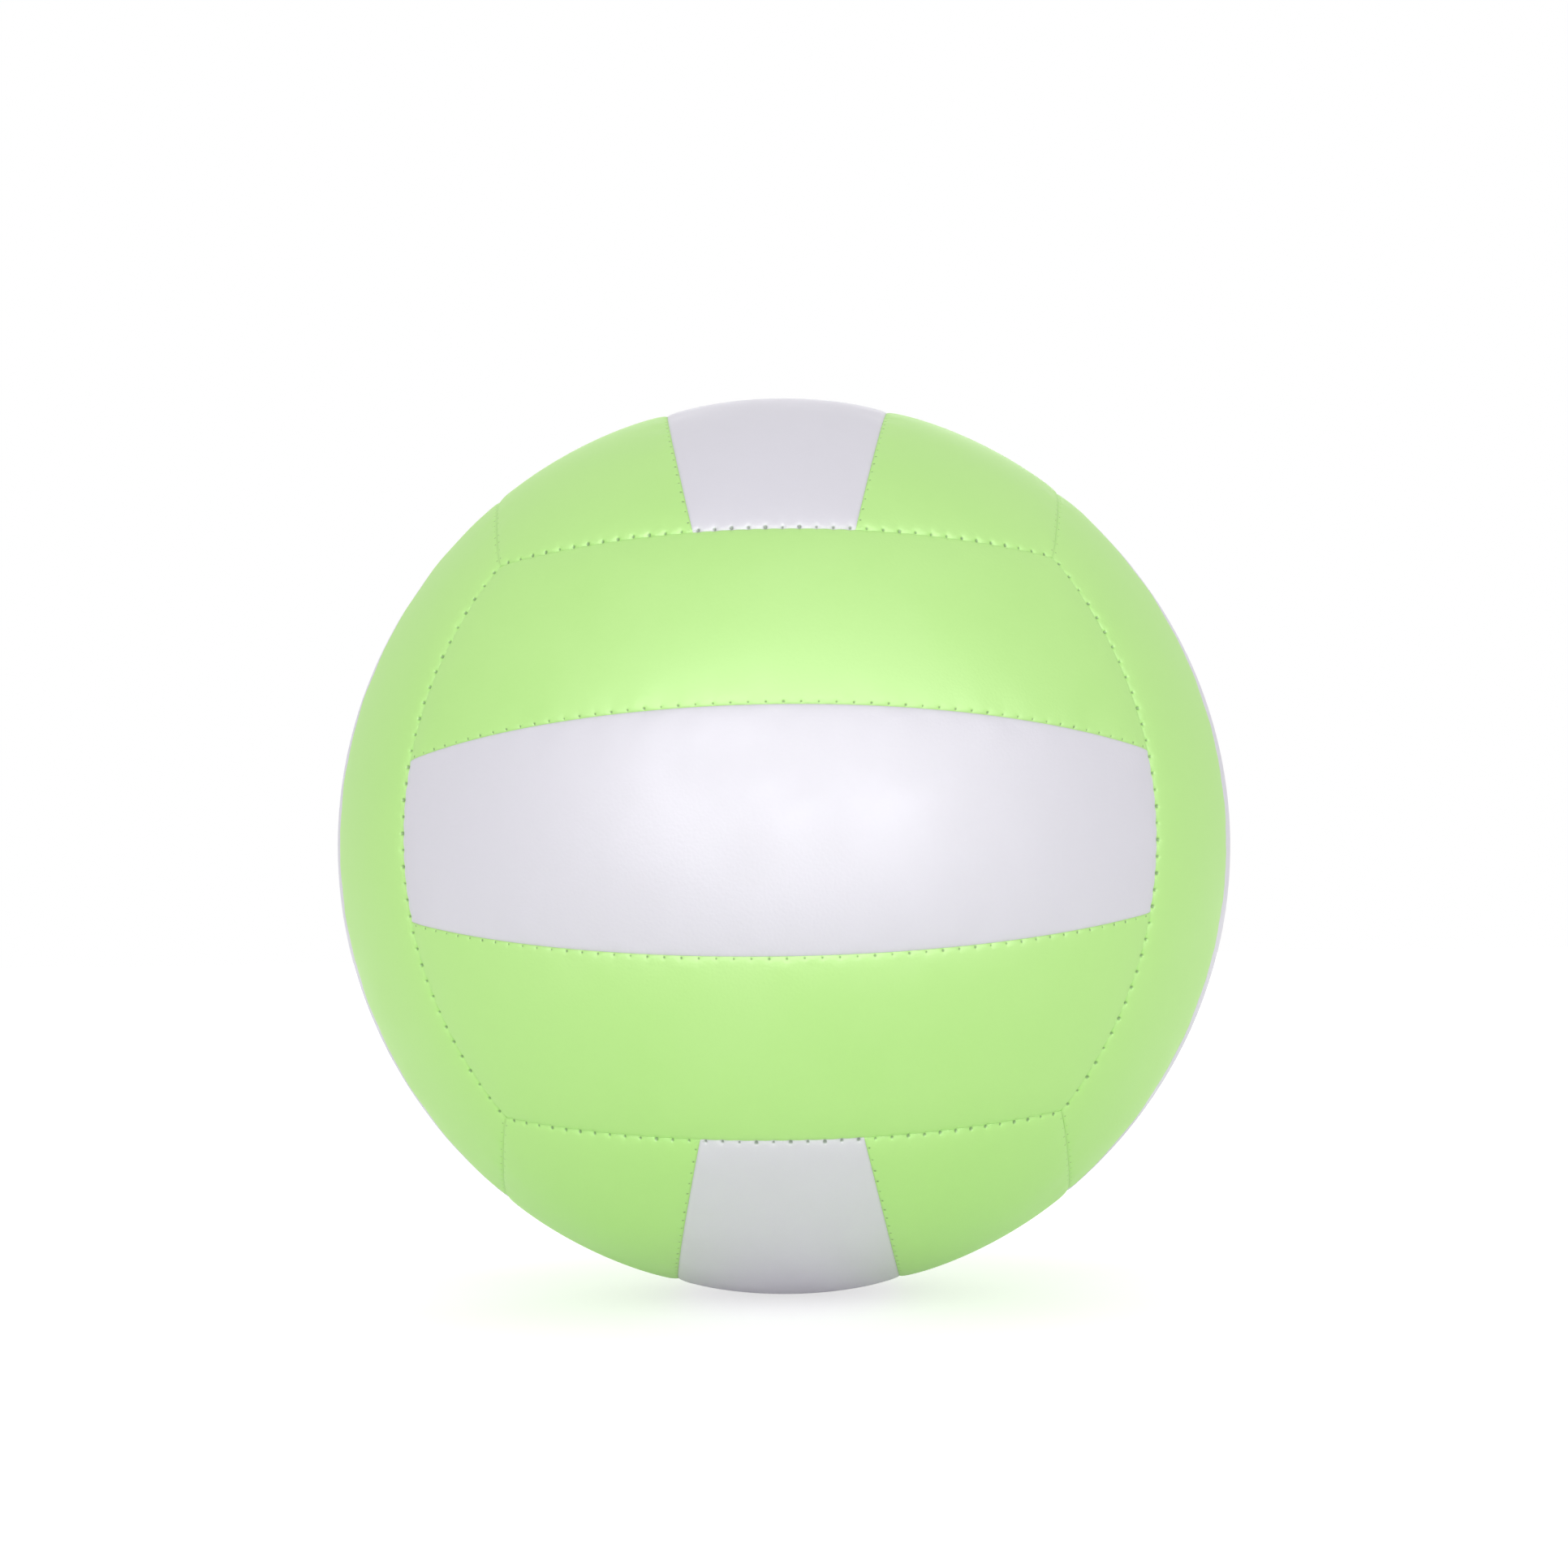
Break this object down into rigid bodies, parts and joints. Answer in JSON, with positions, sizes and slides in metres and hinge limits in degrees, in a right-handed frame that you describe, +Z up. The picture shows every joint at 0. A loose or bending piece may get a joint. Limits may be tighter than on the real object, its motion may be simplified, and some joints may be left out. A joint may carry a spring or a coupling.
{
  "type": "volleyball",
  "caption": "Round indoor volleyball: padded panels in strips of three, sewn over a cloth lining and an air bladder with a needle valve.",
  "frame": {"origin": "centre of the ball", "axes": "+Z up, the face with crosswise strips towards -Y, the valve's needle port opening along +Y, +X to the right seen from -Y"},
  "size_m": [0.21, 0.21, 0.21],
  "materials": {
    "green_skin": "satin synthetic leather with a very fine grain",
    "white_skin": "satin synthetic leather with a very fine grain",
    "foam": "matt closed-cell foam",
    "thread": "waxed polyester thread",
    "cloth": "plain woven cotton and polyester",
    "rubber": "matt butyl rubber"
  },
  "bodies": {
    "root": {"front_upper_panel": "green_skin", "front_middle_panel": "white_skin", "front_lower_panel": "green_skin", "back_upper_panel": "green_skin", "back_middle_panel": "white_skin", "back_lower_panel": "green_skin", "top_left_panel": "green_skin", "top_middle_panel": "white_skin", "top_right_panel": "green_skin", "bottom_left_panel": "green_skin", "bottom_middle_panel": "white_skin", "bottom_right_panel": "green_skin", "left_front_panel": "green_skin", "left_middle_panel": "white_skin", "left_back_panel": "green_skin", "right_front_panel": "green_skin", "right_middle_panel": "white_skin", "right_back_panel": "green_skin", "front_upper_foam": "foam", "front_middle_foam": "foam", "front_lower_foam": "foam", "back_upper_foam": "foam", "back_middle_foam": "foam", "back_lower_foam": "foam", "top_left_foam": "foam", "top_middle_foam": "foam", "top_right_foam": "foam", "bottom_left_foam": "foam", "bottom_middle_foam": "foam", "bottom_right_foam": "foam", "left_front_foam": "foam", "left_middle_foam": "foam", "left_back_foam": "foam", "right_front_foam": "foam", "right_middle_foam": "foam", "right_back_foam": "foam", "front_top_seam_thread": "thread", "front_bottom_seam_thread": "thread", "back_top_seam_thread": "thread", "back_bottom_seam_thread": "thread", "top_left_seam_thread": "thread", "top_right_seam_thread": "thread", "bottom_left_seam_thread": "thread", "bottom_right_seam_thread": "thread", "left_front_seam_thread": "thread", "left_back_seam_thread": "thread", "right_front_seam_thread": "thread", "right_back_seam_thread": "thread", "front_strip_threads": "thread", "back_strip_threads": "thread", "top_strip_threads": "thread", "bottom_strip_threads": "thread", "left_strip_threads": "thread", "right_strip_threads": "thread", "cloth_lining": "cloth", "bladder": "rubber", "bladder_patch": "rubber", "valve_body": "rubber", "valve_plug": "rubber"}
  },
  "joints": []
}
